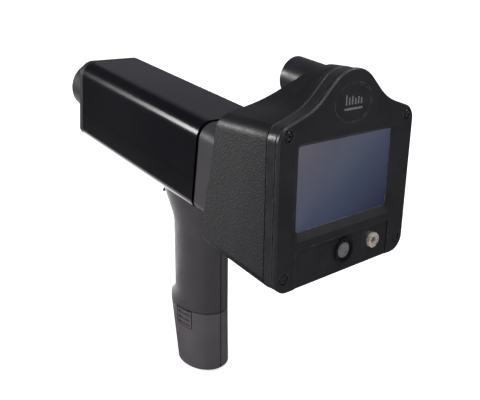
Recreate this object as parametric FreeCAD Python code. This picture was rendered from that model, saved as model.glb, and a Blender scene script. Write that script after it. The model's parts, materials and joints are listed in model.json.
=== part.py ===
"""Pistol-grip ultrasonic inspection instrument, as separate bench-level pieces, in millimetres.

Frame: origin at the centre of the battery's flat base, +Z up along the grip, +Y towards the
sensor nose, +X to the user's right.  Everything is modelled about the display datum (the
centre of the four bezel screws on the face the user reads) and moved to the base at the end.
The barrel, its nose and the pointer tube are modelled level and then pitched nose-up.
"""
import FreeCAD, Part
import math
import os

from FreeCAD import Vector

# ---- driving dimensions -------------------------------------------------------------------
DATUM_HEIGHT = 148.0      # display datum above the battery's base
DATUM_REACH = 117.0       # display datum behind the centre of the base
PITCH = 8.18              # degrees the barrel points up
PART_GAP = 0.3            # gap between fixed and removable pieces
FIT = 0.15                # play round a piece that drops into another

# display head, seen from behind
FACE_HALF_W = 47.2
FACE_BOTTOM = -41.3
FACE_TOP = 59.6
CROWN_R = 20.0            # round top of the hump
FLANK_ANGLE = 43.0        # steepest slope of the hump, degrees
FLANK_RUN = 8.7
HOLLOW_R = 32.0
SHOULDER_ANGLE = 17.5
SHOULDER_R = 8.0
FOOT_R = 8.5

# display head, seen from the side
PLATE_T = 1.9             # bezel plate
PLATE_CHAMFER = 0.7
SEAL_T = 0.8
FRAME_T = 4.8
HOUSING_SEAL_T = 0.6
HOUSING_Y = PLATE_T + SEAL_T + FRAME_T + HOUSING_SEAL_T
HEAD_WALL = 2.4
FRONT_LEAN = 12.6         # degrees the housing's front leans back
ROOF_LEAN = 47.0          # and its roof, above the knee
KNEE_Y = 41.8
KNEE_Z = 36.0
KNEE_R = 12.0
TOE_R = 11.0
HOUSING_FRONT = 64.0      # where the loft of the housing ends, before its front is cut
FLOOR_RISE = 9.0          # how far the housing's floor climbs by then

# bezel screws
SCREW_X = 41.5            # spacing, half
SCREW_Z = 33.6
HEAD_R = 2.25
SHANK_R = 1.4
SCREW_TIP = 17.0
POST_R = 4.2              # posts that take the screws
SEAT_Y = 0.9              # depth of the pocket under each head

# window, glass and display board
WINDOW_HALF_W = 37.3      # opening at the face
WINDOW_Z0 = -17.2
WINDOW_Z1 = 29.2
GLASS_HALF_W = 32.4       # opening at the glass
GLASS_Z0 = -13.4
GLASS_Z1 = 27.2
GLASS_Y = 2.6
GLASS_T = 1.1
GLASS_MARGIN = 2.0        # glass hidden behind the window's edge
BOSS_BACK = 5.6           # rear of the window's frame, inside the middle frame
BOARD_T = 1.6
BOARD_Y = 12.0
BOARD_HALF_W = 36.0
BOARD_Z0 = -36.0
BOARD_Z1 = 34.0

# badge on the hump
BADGE_Z = 43.8
BADGE_HALF_W = 13.0
BADGE_HALF_H = 9.6
BADGE_POCKET_Y = 0.5
BADGE_RIM = 0.85

# control panel, dial and jack
PANEL_HALF_W = 34.2
PANEL_Z1 = -21.6
PANEL_Y = 0.9
PANEL_T = 1.6
PANEL_SIDE_GAP = 0.6      # shadow line down each end of the panel
PANEL_TOP_GAP = 0.2
KNOB_Z = -29.9
KNOB_RING_R = 6.6
KNOB_R = 4.1
SPINDLE_R = 1.5
PLUNGER_R = 3.0           # sleeve that the dial turns in and that its push moves
ENCODER_Y = 5.6
ENCODER_HALF_W = 6.0
JACK_X = 22.2
JACK_NUT_R = 4.0
JACK_BUSH_R = 2.9
JACK_BORE_R = 1.8
JACK_HALF_W = 4.2
JACK_BLOCK_Y = 4.5
JACK_DEPTH = 17.5

# pointer tube on top of the head
TUBE_R = 10.0
TUBE_Z = 51.6             # its axis height at its front end
TUBE_FRONT = 40.0

# barrel and end plates, before they are pitched
BARREL_HALF_W = 25.5
BARREL_TOP = 10.7
BARREL_BOTTOM = -41.7
BARREL_REAR = 89.0
BARREL_FRONT = 220.0
BARREL_WALL = 2.2
BARREL_TOP_R = 9.5
BARREL_FOOT_R = 5.5
SEAM_Z = -24.1
END_PLATE_T = 5.5
END_CHAMFER = 1.4
REAR_PLATE_T = 1.8
NECK_REAR = 24.0
NECK_WALL = 3.5
PLATE_SCREWS = [(x, z) for x in (-19.3, 19.3) for z in (3.0, -35.0)]
PLATE_SCREW_R = 1.5
PLATE_HEAD_R = 2.6
PLATE_SEAT = 3.4          # depth of the end plate left under each screw head

# sensor module and its socket
NOSE_Z = -15.6            # their axis
SOCKET_R = 15.2
SOCKET_BORE_R = 13.2
SOCKET_DEPTH = 22.0
MODULE_R = 17.7
MODULE_FRONT = 252.4
MODULE_BACK = BARREL_FRONT + END_PLATE_T + PART_GAP
SPIGOT_R = 12.9
SPIGOT_DEPTH = 18.0
COLLAR_FRONT = 237.0      # collar of the module ends, its nose begins
COLLAR_STEP = 0.7
COLLAR_GAP = 0.9
COLLAR_BORE_R = 14.2
NOSE_ROUND = 1.5
NOSE_LIP = 2.2
CELL_SEAT = MODULE_FRONT - 9.0
CELL_R = 5.2
CELL_T = 6.0
CELL_CIRCLE = 6.6         # radius the three transducers stand on
PIN_R = 0.75
PIN_CIRCLE = 5.0
PIN_LENGTH = 7.0

# main board in the barrel
MAIN_Z = -19.0
MAIN_HALF_W = 20.0
MAIN_REAR = 100.0
MAIN_FRONT = 194.0
CHIP_HALF = 5.0
POST_INSET = 4.0          # board posts stand this far in from the board's edges
BOARD_POST_R = 2.4

# grip
GRIP_REAR = 98.0          # rear line of grip and battery
GRIP_HALF_W = 15.1
GRIP_FRONT = 138.9
GRIP_WALL = 2.2
FLARE_Z = -50.0           # the shaft ends and the flare begins
FLARE = [                 # height, added half width, front
    (FLARE_Z, 0.0, GRIP_FRONT),
    (-42.0, 0.2, 142.2),
    (-34.0, 0.6, 147.6),
    (-24.0, 1.0, 153.0),
    (-8.0, 1.4, 156.0),
]
COLLAR_TOP = -97.0
COLLAR_LIP = -101.5
JOINT_Z = -105.9          # grip ends, battery begins
JOINT_HALF_W = 15.8
JOINT_FRONT = 143.9
SEAM_HALF_W = 0.5         # groove that hides the joint of two moulded halves
SEAM_DEPTH = 0.9
HALF_GAP = 0.1            # each half stops this far from the middle
GRIP_SCREWS = [(122.0, -34.0), (118.0, -62.0), (118.0, -88.0)]
GRIP_BOSS_R = 3.4
GRIP_SCREW_R = 1.2
GRIP_HEAD_R = 2.7
GRIP_HEAD_T = 1.8
GRIP_HEAD_X = GRIP_HALF_W - 3.2

# trigger and its switch
PIVOT_Y = 146.5
PIVOT_Z = -25.5
PIVOT_R = 1.5
PIVOT_PLAY = 0.05
PIVOT_HALF_L = 9.0
TRIGGER_HALF_W = 4.6
TRIGGER_BOSS_R = 3.4
TRIGGER_TOP = (153.8, -20.5)
TRIGGER_HOLLOW = (150.9, -28.0)
TRIGGER_LIP = (153.9, -35.9)
TRIGGER_TIP = (154.1, -37.1)
TRIGGER_UNDER = (152.9, -37.3)
TRIGGER_BELLY = (148.9, -33.6)
TRIGGER_BACK = 147.0
SWITCH_HALF_W = 5.0
SWITCH_FRONT = 139.5
SWITCH_Z0 = -38.0
BUTTON_FRONT = 146.4
BUTTON_Z0 = -34.0
BUTTON_HALF = 1.5

# battery
JOINT_GAP = 0.6           # shadow gap between grip and battery
PACK_TOP = JOINT_Z - JOINT_GAP
PACK_BASE = -DATUM_HEIGHT
PACK_WALL = 2.0
BASE_HALF_W = 15.3
BASE_FRONT = 136.0
BASE_ROUND = 1.2
BATTERY_CELL_R = 7.6
BATTERY_CELL_L = 34.0
BATTERY_CELL_Y = [109.2, 124.8]
CONTACT_Z = -95.5         # underside of the contact block in the grip
CONTACT_T = 3.0
CONTACT_HALF_W = 12.6
CONTACT_INSET = 3.0
LID_HALF_W = 6.0          # opening in the battery's top for its terminals
LID_REAR = 101.0
LID_FRONT = 116.0
TERMINAL_R = 1.3
TERMINAL_Y = [104.5, 112.0]

# latches in the battery's sides
LATCH_Y = 117.6
LATCH_HALF_W = 7.3
LATCH_Z0 = -119.0
LATCH_SIDE_GAP = 1.0
LATCH_T = 2.6
LATCH_RIBS = 3
LATCH_RIB_PITCH = 3.7
LATCH_FIRST_RIB = 1.3
LATCH_GROOVE = 2.0
LATCH_GROOVE_HALF_W = 5.2
LATCH_GROOVE_DEPTH = 0.95

X_AXIS = Vector(1, 0, 0)
Y_AXIS = Vector(0, 1, 0)
Z_AXIS = Vector(0, 0, 1)
FAR = 200.0               # beyond everything, for boxes that cut or keep a side


# ---- helpers ------------------------------------------------------------------------------
def box(x0, x1, y0, y1, z0, z1):
    return Part.makeBox(x1 - x0, y1 - y0, z1 - z0, Vector(x0, y0, z0))


def rod_y(x, z, radius, y0, y1):
    return Part.makeCylinder(radius, y1 - y0, Vector(x, y0, z), Y_AXIS)


def rod_x(y, z, radius, x0, x1):
    return Part.makeCylinder(radius, x1 - x0, Vector(x0, y, z), X_AXIS)


def rod_z(x, y, radius, z0, z1):
    return Part.makeCylinder(radius, z1 - z0, Vector(x, y, z0), Z_AXIS)


def ring_y(x, z, outer, inner, y0, y1):
    return rod_y(x, z, outer, y0, y1).cut(rod_y(x, z, inner, y0 - 1, y1 + 1))


def fuse(shapes):
    shapes = list(shapes)
    return shapes[0].multiFuse(shapes[1:]).removeSplitter() if len(shapes) > 1 else shapes[0]


def cut(shape, *tools):
    for tool in tools:
        shape = shape.cut(tool)
    return shape


def around(radius, start=90, count=3):
    """Places (x, z) evenly spaced on a circle."""
    angles = [math.radians(start + 360 * step / count) for step in range(count)]
    return [(radius * math.cos(a), radius * math.sin(a)) for a in angles]


def pitched(shape):
    """From the level barrel frame to the display frame."""
    turned = shape.copy()
    turned.rotate(Vector(0, 0, 0), X_AXIS, PITCH)
    return turned


def rounded_rect(half_w, z0, z1, top_r, foot_r, y):
    """Wire of a rectangle in XZ with one radius for its top corners and one for the others."""
    def point(x, z):
        return Vector(x, y, z)

    def corner(cx, cz, radius, start):
        angles = [math.radians(start + step) for step in (0, 45, 90)]
        ends = [point(cx + radius * math.cos(a), cz + radius * math.sin(a)) for a in angles]
        return Part.Arc(*ends).toShape()

    arcs = [
        corner(half_w - top_r, z1 - top_r, top_r, 0),
        corner(-half_w + top_r, z1 - top_r, top_r, 90),
        corner(-half_w + foot_r, z0 + foot_r, foot_r, 180),
        corner(half_w - foot_r, z0 + foot_r, foot_r, 270),
    ]
    return close_with_lines(arcs)


def close_with_lines(arcs):
    """Join arcs, given in order round the outline, with straight edges between them."""
    edges = []
    for arc, following in zip(arcs, arcs[1:] + arcs[:1]):
        start, end = arc.Vertexes[-1].Point, following.Vertexes[0].Point
        edges.append(arc)
        if start.distanceToPoint(end) > 1e-6:
            edges.append(Part.makeLine(start, end))
    return Part.Wire(edges)


def slab(wire, depth):
    return Part.Face(wire).extrude(Vector(0, depth, 0))


def ellipse_wire(half_w, rear, front, z):
    """Horizontal oval from rear to front along Y, at height z."""
    half_l = (front - rear) / 2
    centre = Vector(0, rear + half_l, z)
    oval = Part.Ellipse(centre + Vector(0, half_l, 0), centre + Vector(half_w, 0, 0), centre)
    return Part.Wire([oval.toShape()])


def loft(wires, ruled=False):
    return Part.makeLoft(wires, True, ruled)


# ---- display head -------------------------------------------------------------------------
def head_wire(y, inset=0.0, foot_rise=0.0):
    """Outline of the head seen from behind: square shoulders with a round hump on top."""
    half_w = FACE_HALF_W - inset
    bottom = FACE_BOTTOM + inset + foot_rise
    crown_r = CROWN_R - inset
    hollow_r = HOLLOW_R + inset
    shoulder_r = SHOULDER_R - inset
    foot_r = FOOT_R - inset
    flank = math.radians(FLANK_ANGLE)
    shoulder = math.radians(SHOULDER_ANGLE)
    crown_z = FACE_TOP - CROWN_R
    flank_x = CROWN_R * math.sin(flank) + FLANK_RUN * math.cos(flank)
    flank_z = crown_z + CROWN_R * math.cos(flank) - FLANK_RUN * math.sin(flank)
    hollow_x = flank_x + HOLLOW_R * math.sin(flank)
    hollow_z = flank_z + HOLLOW_R * math.cos(flank)
    line_x = hollow_x - HOLLOW_R * math.sin(shoulder)
    line_z = hollow_z - HOLLOW_R * math.cos(shoulder)
    corner_x = FACE_HALF_W - SHOULDER_R
    corner_z = line_z - (SHOULDER_R + (corner_x - line_x) * math.sin(shoulder)) / math.cos(shoulder)

    def arc(cx, cz, radius, start, end):
        angles = [math.radians(a) for a in (start, (start + end) / 2, end)]
        return Part.Arc(*[Vector(cx + radius * math.cos(a), y, cz + radius * math.sin(a))
                          for a in angles]).toShape()

    arcs = [
        arc(0, crown_z, crown_r, 90 - FLANK_ANGLE, 90 + FLANK_ANGLE),
        arc(-hollow_x, hollow_z, hollow_r, FLANK_ANGLE - 90, SHOULDER_ANGLE - 90),
        arc(-corner_x, corner_z, shoulder_r, 90 + SHOULDER_ANGLE, 180),
        arc(foot_r - half_w, bottom + foot_r, foot_r, 180, 270),
        arc(half_w - foot_r, bottom + foot_r, foot_r, 270, 360),
        arc(corner_x, corner_z, shoulder_r, 0, 90 - SHOULDER_ANGLE),
        arc(hollow_x, hollow_z, hollow_r, 270 - SHOULDER_ANGLE, 270 - FLANK_ANGLE),
    ]
    return close_with_lines(arcs)


def corner_posts(radius, y0, y1):
    return [rod_y(x, z, radius, y0, y1) for x in (-SCREW_X, SCREW_X) for z in (-SCREW_Z, SCREW_Z)]


def window_cut():
    outer = rounded_rect(WINDOW_HALF_W, WINDOW_Z0, WINDOW_Z1, 4.0, 4.0, -0.01)
    inner = rounded_rect(GLASS_HALF_W, GLASS_Z0, GLASS_Z1, 1.5, 1.5, GLASS_Y + 0.01)
    return loft([outer, inner], True)


def glass_space(y0, y1, grow=0.0):
    m = GLASS_MARGIN + grow
    return box(-GLASS_HALF_W - m, GLASS_HALF_W + m, y0, y1, GLASS_Z0 - m, GLASS_Z1 + m)


def panel_space(y0, y1, grow=0.0):
    return box(-PANEL_HALF_W - grow, PANEL_HALF_W + grow, y0, y1, FACE_BOTTOM - 1, PANEL_Z1 + grow)


def display_bezel():
    plate = slab(head_wire(0), PLATE_T)
    rim = [e for e in plate.Edges if e.BoundBox.YMax < 1e-6]
    plate = plate.makeChamfer(PLATE_CHAMFER, rim)
    boss = glass_space(PLATE_T - 0.5, BOSS_BACK, 1.4)
    plate = plate.fuse(boss)
    plate = cut(plate, window_cut(), glass_space(GLASS_Y, BOSS_BACK + 1, 0.1))
    plate = plate.cut(panel_space(-1, PLATE_T + 1))
    seats = corner_posts(HEAD_R + 0.75, -1, SEAT_Y)
    plate = cut(plate, *seats, *corner_posts(SHANK_R + FIT, 0, PLATE_T + 1))
    return plate.cut(oval_y(BADGE_HALF_W, BADGE_HALF_H, BADGE_Z, -1, BADGE_POCKET_Y))


def control_panel():
    half_w = PANEL_HALF_W - PANEL_SIDE_GAP
    top = PANEL_Z1 - PANEL_TOP_GAP
    space = box(-half_w, half_w, PANEL_Y, PANEL_Y + PANEL_T, FACE_BOTTOM - 1, top)
    panel = slab(head_wire(PANEL_Y, FIT), PANEL_T).common(space)
    panel = panel.cut(rod_y(0, KNOB_Z, KNOB_RING_R - 1.2, 0, 5))
    return panel.cut(rod_y(JACK_X, KNOB_Z, JACK_BUSH_R + 0.2, 0, 5))


def flat_ring(y0, depth, inset, wall):
    """A ring that follows the head's outline, with screw posts in its corners."""
    inner = slab(head_wire(y0 - 1, inset + wall), depth + 2)
    inner = cut(inner, *corner_posts(POST_R, y0 - 2, y0 + depth + 2))
    ring = slab(head_wire(y0, inset), depth).cut(inner)
    return cut(ring, *corner_posts(SHANK_R + FIT, y0 - 1, y0 + depth + 1))


def bezel_seal():
    seal = flat_ring(PLATE_T, SEAL_T, 1.1, 3.0)
    return seal.cut(panel_space(PLATE_T - 1, PLATE_T + 2, 0.3))


def middle_frame():
    frame = flat_ring(PLATE_T + SEAL_T, FRAME_T, 0.2, 3.6)
    return frame.cut(panel_space(PLATE_T, PANEL_Y + PANEL_T, 0.1))


def housing_seal():
    return flat_ring(HOUSING_Y - HOUSING_SEAL_T, HOUSING_SEAL_T, 0.9, 2.6)


def round_corner(corner, before, after, radius):
    """Arc that rounds a corner of a line path; before and after are unit directions along it."""
    turn = math.acos(before.dot(after))
    run = radius * math.tan(turn / 2)
    inward = Vector(after - before).normalize()
    centre = corner + inward * (radius / math.cos(turn / 2))
    return Part.Arc(corner - before * run, centre - inward * radius, corner + after * run).toShape()


def slope(degrees):
    """Unit direction in the side view, measured from +Y towards +Z."""
    angle = math.radians(degrees)
    return Vector(0, math.cos(angle), math.sin(angle))


def crossing(point_a, along_a, point_b, along_b):
    """Where two lines of the side view meet."""
    gap = point_b - point_a
    det = along_a.y * along_b.z - along_a.z * along_b.y
    return point_a + along_a * ((gap.y * along_b.z - gap.z * along_b.y) / det)


def head_side_profile(inset=0.0):
    """Side view of the housing: rounded toe, leaning front, rounded knee, sloping roof."""
    floor = slope(math.degrees(math.atan2(FLOOR_RISE, HOUSING_FRONT - HOUSING_Y)))
    lean = slope(90 + FRONT_LEAN)
    roof = slope(90 + ROOF_LEAN)
    knee = Vector(0, KNEE_Y, KNEE_Z) - (lean + roof).normalize().cross(X_AXIS) * inset
    heel = Vector(0, HOUSING_Y, FACE_BOTTOM + inset - 0.05)
    toe = crossing(heel, floor, knee, lean)
    toe_arc = round_corner(toe, floor, lean, TOE_R - inset)
    knee_arc = round_corner(knee, lean, roof, KNEE_R - inset)
    start = toe_arc.Vertexes[0].Point
    top = knee + roof * FACE_TOP
    behind = -20.0
    below = 2 * FACE_BOTTOM
    corners = [top, Vector(0, behind, top.z), Vector(0, behind, below), Vector(0, start.y, below), start]
    edges = [toe_arc, Part.makeLine(toe_arc.Vertexes[1].Point, knee_arc.Vertexes[0].Point), knee_arc,
             Part.makeLine(knee_arc.Vertexes[1].Point, top)]
    edges += [Part.makeLine(a, b) for a, b in zip(corners, corners[1:])]
    side = Part.Face(Part.Wire(edges))
    return side.extrude(X_AXIS * 2 * FAR).translated(X_AXIS * -FAR)


def head_solid(inset=0.0):
    rear = head_wire(HOUSING_Y, inset)
    front = head_wire(HOUSING_FRONT, inset, FLOOR_RISE)
    return loft([rear, front], True).common(head_side_profile(inset))


def display_housing():
    outer = head_solid()
    inner = head_solid(HEAD_WALL)
    inner = cut(inner, *corner_posts(POST_R, HOUSING_Y - 1, SCREW_TIP + 4))
    shell = outer.cut(inner)
    shell = cut(shell, *corner_posts(SHANK_R, HOUSING_Y - 1, SCREW_TIP + 0.5))
    cable_way = pitched(rod_y(0, -14, 13.0, 30, 80))
    return cut(shell, cable_way, tube_rod(TUBE_R - 3.0, -5, 26))


def display_glass():
    return glass_space(GLASS_Y, GLASS_Y + GLASS_T)


def lcd_panel():
    return glass_space(GLASS_Y + GLASS_T, BOSS_BACK + 1.6, -0.2)


def display_board():
    """Board behind the display, with a window that the jack stands through."""
    board = box(-BOARD_HALF_W, BOARD_HALF_W, BOARD_Y, BOARD_Y + BOARD_T, BOARD_Z0, BOARD_Z1)
    half = JACK_HALF_W + 0.8
    return board.cut(box(JACK_X - half, JACK_X + half, BOARD_Y - 1, BOARD_Y + 3,
                         KNOB_Z - half, KNOB_Z + half))


def bezel_screws():
    """Button-head screws with a round socket."""
    screws = []
    for x in (-SCREW_X, SCREW_X):
        for z in (-SCREW_Z, SCREW_Z):
            ball = Part.makeSphere(3.1, Vector(x, 2.4, z))
            head = ball.common(rod_y(x, z, HEAD_R, -0.65, SEAT_Y))
            socket = rod_y(x, z, 0.8, -1, 0.35)
            screws.append(head.cut(socket).fuse(rod_y(x, z, SHANK_R - 0.1, SEAT_Y, SCREW_TIP)))
    return Part.Compound(screws)


def oval_y(half_w, half_h, z, y0, y1):
    centre = Vector(0, y0, z)
    oval = Part.Ellipse(centre + Vector(half_w, 0, 0), centre + Vector(0, 0, half_h), centre)
    return slab(Part.Wire([oval.toShape()]), y1 - y0)


def oval_badge():
    """A plain oval plate with a raised rim, sunk flush in the bezel."""
    rim = FIT + BADGE_RIM
    plate = oval_y(BADGE_HALF_W - FIT, BADGE_HALF_H - FIT, BADGE_Z, 0.05, BADGE_POCKET_Y)
    return plate.cut(oval_y(BADGE_HALF_W - rim, BADGE_HALF_H - rim, BADGE_Z, -1, 0.25))


# ---- controls -----------------------------------------------------------------------------
def knob_ring():
    """Bezel of the dial: a raised rim round a sunk step that the dial stands in."""
    bore_r = KNOB_R + 0.5
    rim = ring_y(0, KNOB_Z, KNOB_RING_R, KNOB_RING_R - 1.0, -0.4, PANEL_Y)
    step = ring_y(0, KNOB_Z, KNOB_RING_R - 1.0, bore_r, 0.3, PANEL_Y)
    sleeve = ring_y(0, KNOB_Z, KNOB_RING_R - 1.25, bore_r, PANEL_Y, 4.4)
    return fuse([rim, step, sleeve])


def dial_knob():
    ball = Part.makeSphere(8.0, Vector(0, 7.3, KNOB_Z))
    cap = ball.common(rod_y(0, KNOB_Z, KNOB_R, -0.9, 3.0))
    finger = Part.makeSphere(1.6, Vector(0.9, -1.5, KNOB_Z - 1.2))
    return cap.cut(finger).fuse(rod_y(0, KNOB_Z, SPINDLE_R, 3.0, 6.9))


def encoder_plunger():
    sleeve = ring_y(0, KNOB_Z, PLUNGER_R, SPINDLE_R + 0.05, 5.0, 7.9)
    return fuse([sleeve, rod_y(0, KNOB_Z, PLUNGER_R, 7.1, 9.2)])


def encoder_body():
    half = ENCODER_HALF_W
    shell = box(-half, half, ENCODER_Y, BOARD_Y, KNOB_Z - half, KNOB_Z + half)
    return shell.cut(rod_y(0, KNOB_Z, PLUNGER_R + 0.05, ENCODER_Y - 1, 10.4))


def jack_nut():
    """Ring nut of the jack, with two crossed slots for its spanner."""
    nut = ring_y(JACK_X, KNOB_Z, JACK_NUT_R, JACK_BUSH_R + 0.05, -0.7, PANEL_Y)
    slot = box(-JACK_NUT_R - 1, JACK_NUT_R + 1, -1, -0.1, -0.55, 0.55)
    for angle in (45, 135):
        blade = slot.copy()
        blade.rotate(Vector(0, 0, 0), Y_AXIS, angle)
        nut = nut.cut(blade.translated(Vector(JACK_X, 0, KNOB_Z)))
    return nut


def jack_body():
    """Socket body: threaded bush through the panel, block behind it, bore for the plug."""
    half = JACK_HALF_W
    bush = rod_y(JACK_X, KNOB_Z, JACK_BUSH_R, -0.5, JACK_BLOCK_Y)
    block = box(JACK_X - half, JACK_X + half, JACK_BLOCK_Y, JACK_DEPTH, KNOB_Z - half, KNOB_Z + half)
    return bush.fuse(block).cut(rod_y(JACK_X, KNOB_Z, JACK_BORE_R, -1, JACK_DEPTH - 3.0))


# ---- pointer tube on the hump -------------------------------------------------------------
def tube_rod(radius, along0, along1):
    """A rod on the tube's axis, from along0 to along1 behind its front end."""
    forward = slope(PITCH)
    end = Vector(0, TUBE_FRONT, TUBE_Z) - forward * along1
    return Part.makeCylinder(radius, along1 - along0, end, forward)


def pointer_tube():
    barrel = tube_rod(TUBE_R, 0, 40).cut(head_solid())
    barrel = max(barrel.Solids, key=lambda solid: solid.BoundBox.YMax)
    front = [e for e in barrel.Edges if e.BoundBox.YMin > TUBE_FRONT - 3.2 and e.Closed]
    barrel = barrel.makeFillet(0.8, front)
    return cut(barrel, tube_rod(TUBE_R - 1.6, -1, 50), tube_rod(TUBE_R - 1.0, -1, 1.4))


def pointer_lens():
    return tube_rod(TUBE_R - 1.65, 1.6, 3.4)


def pointer_module():
    return tube_rod(6.8, 3.6, 14.0).fuse(tube_rod(4.5, 14.0, 24.0))


# ---- neck and barrel ----------------------------------------------------------------------
def barrel_wire(y, inset=0.0):
    return rounded_rect(BARREL_HALF_W - inset, BARREL_BOTTOM + inset, BARREL_TOP - inset,
                        BARREL_TOP_R - inset, BARREL_FOOT_R - inset, y)


def neck():
    """Hollow link between the head and the barrel, shaped to the head's leaning front."""
    end = BARREL_REAR - REAR_PLATE_T
    outer = slab(barrel_wire(NECK_REAR, 0.5), end - NECK_REAR)
    inner = slab(barrel_wire(NECK_REAR - 4, 0.5 + NECK_WALL), end - NECK_REAR + 8)
    sleeve = pitched(outer).cut(head_solid())
    sleeve = max(sleeve.Solids, key=lambda solid: solid.BoundBox.YMax)
    return sleeve.cut(pitched(inner))


def rear_end_plate():
    plate = slab(barrel_wire(BARREL_REAR - REAR_PLATE_T, 1.3), REAR_PLATE_T)
    return pitched(plate.cut(rod_y(0, NOSE_Z, 9.0, 80, 95)))


def barrel_half(z0, z1):
    depth = BARREL_FRONT - BARREL_REAR
    outer = slab(barrel_wire(BARREL_REAR), depth)
    inner = slab(barrel_wire(BARREL_REAR - 1, BARREL_WALL), depth + 2)
    return outer.cut(inner).common(box(-FAR, FAR, BARREL_REAR, BARREL_FRONT, z0, z1))


def barrel_cover():
    return pitched(barrel_half(SEAM_Z + PART_GAP / 2, FAR))


def barrel_tray():
    """Lower half of the barrel, open to the trigger and to the grip's wires."""
    tray = pitched(barrel_half(-FAR, SEAM_Z - PART_GAP / 2))
    trigger_slot = box(-6.0, 6.0, PIVOT_Y - 6.0, PIVOT_Y + 5.5, -30, 0)
    return cut(tray, trigger_slot, rod_z(0, LATCH_Y, 8.0, -40, 0))


def front_end_plate():
    plate = slab(barrel_wire(BARREL_FRONT), END_PLATE_T)
    front = BARREL_FRONT + END_PLATE_T
    rim = [e for e in plate.Edges if e.BoundBox.YMin > front - 1e-6]
    plate = plate.makeChamfer(END_CHAMFER, rim)
    seat = BARREL_FRONT + PLATE_SEAT
    holes = [rod_y(x, z, PLATE_SCREW_R + 0.1, BARREL_FRONT - 1, front + 1) for x, z in PLATE_SCREWS]
    heads = [rod_y(x, z, PLATE_HEAD_R + 0.1, seat, front + 1) for x, z in PLATE_SCREWS]
    return pitched(cut(plate, rod_y(0, NOSE_Z, SOCKET_R, BARREL_FRONT - 1, front + 1), *holes, *heads))


def front_plate_screws():
    seat = BARREL_FRONT + PLATE_SEAT
    screws = []
    for x, z in PLATE_SCREWS:
        head = rod_y(x, z, PLATE_HEAD_R, seat, seat + 1.6)
        head = head.cut(rod_y(x, z, 1.1, seat + 0.6, seat + 2.6))
        screws.append(head.fuse(rod_y(x, z, PLATE_SCREW_R, BARREL_FRONT - 6, seat)))
    return pitched(Part.Compound(screws))


def screw_bosses():
    """Blocks in the barrel's front corners that take the end plate's screws."""
    blocks = []
    for x, z in PLATE_SCREWS:
        block = rod_y(x, z, 3.2, BARREL_FRONT - 10, BARREL_FRONT)
        blocks.append(block.cut(rod_y(x, z, PLATE_SCREW_R, BARREL_FRONT - 6, BARREL_FRONT + 1)))
    return pitched(Part.Compound(blocks))


def sensor_socket():
    """Fixed cup in the end plate that the sensor module plugs into."""
    back = BARREL_FRONT - SOCKET_DEPTH
    front = BARREL_FRONT + END_PLATE_T
    cup = rod_y(0, NOSE_Z, SOCKET_R - 0.05, back, front - 0.4)
    cup = cup.cut(rod_y(0, NOSE_Z, SOCKET_BORE_R, back + 2.0, front + 1))
    holes = [rod_y(x, NOSE_Z + z, PIN_R + 0.05, back - 1, back + 3) for x, z in around(PIN_CIRCLE)]
    return pitched(cut(cup, *holes))


def module_collar():
    """Grey ring between the end plate and the module's nose."""
    front = COLLAR_FRONT - COLLAR_GAP
    ring = ring_y(0, NOSE_Z, MODULE_R - COLLAR_STEP, COLLAR_BORE_R, MODULE_BACK, front)
    rims = [e for e in ring.Edges if e.Closed and e.BoundBox.XLength > 2 * COLLAR_BORE_R + 1]
    return pitched(ring.makeChamfer(0.5, rims))


def module_shell():
    """Nose, the core that carries the collar, and the spigot that enters the socket."""
    nose = rod_y(0, NOSE_Z, MODULE_R, COLLAR_FRONT, MODULE_FRONT)
    ends = [e for e in nose.Edges if e.Closed and e.BoundBox.YMin > MODULE_FRONT - 1e-6]
    nose = nose.makeFillet(NOSE_ROUND, ends)
    core = rod_y(0, NOSE_Z, COLLAR_BORE_R - 0.05, MODULE_BACK, COLLAR_FRONT)
    spigot = rod_y(0, NOSE_Z, SPIGOT_R, BARREL_FRONT - SPIGOT_DEPTH, MODULE_BACK)
    seat = rod_y(0, NOSE_Z, MODULE_R - NOSE_LIP, CELL_SEAT, MODULE_FRONT + 1)
    hollow = rod_y(0, NOSE_Z, 9.0, MODULE_BACK + 4, MODULE_FRONT)
    return pitched(fuse([nose, core, spigot]).cut(seat).cut(hollow))


def transducers():
    cells = []
    for x, z in around(CELL_CIRCLE):
        can = rod_y(x, NOSE_Z + z, CELL_R, CELL_SEAT, CELL_SEAT + CELL_T)
        dish = rod_y(x, NOSE_Z + z, CELL_R - 1.0, CELL_SEAT + CELL_T - 1.0, MODULE_FRONT)
        cells.append(can.cut(dish))
    return pitched(Part.Compound(cells))


def module_pins():
    foot = BARREL_FRONT - SPIGOT_DEPTH
    spots = around(PIN_CIRCLE)
    return pitched(Part.Compound([rod_y(x, NOSE_Z + z, PIN_R, foot - PIN_LENGTH, foot) for x, z in spots]))


def main_board():
    """Board along the barrel with two rows of chips."""
    top = MAIN_Z + BOARD_T
    board = box(-MAIN_HALF_W, MAIN_HALF_W, MAIN_REAR, MAIN_FRONT, MAIN_Z, top)
    half = CHIP_HALF
    spots = [(x, y) for x in (-9, 9) for y in (120, 145, 170)]
    chips = [box(x - half, x + half, y - half, y + half, top, top + 1.6) for x, y in spots]
    return pitched(fuse([board] + chips))


def board_posts():
    reach = MAIN_HALF_W - POST_INSET + 1.0
    spots = [(x, y) for x in (-reach, reach) for y in (MAIN_REAR + POST_INSET, MAIN_FRONT - POST_INSET)]
    floor = BARREL_BOTTOM + BARREL_WALL
    return pitched(Part.Compound([rod_z(x, y, BOARD_POST_R, floor, MAIN_Z) for x, y in spots]))


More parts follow.
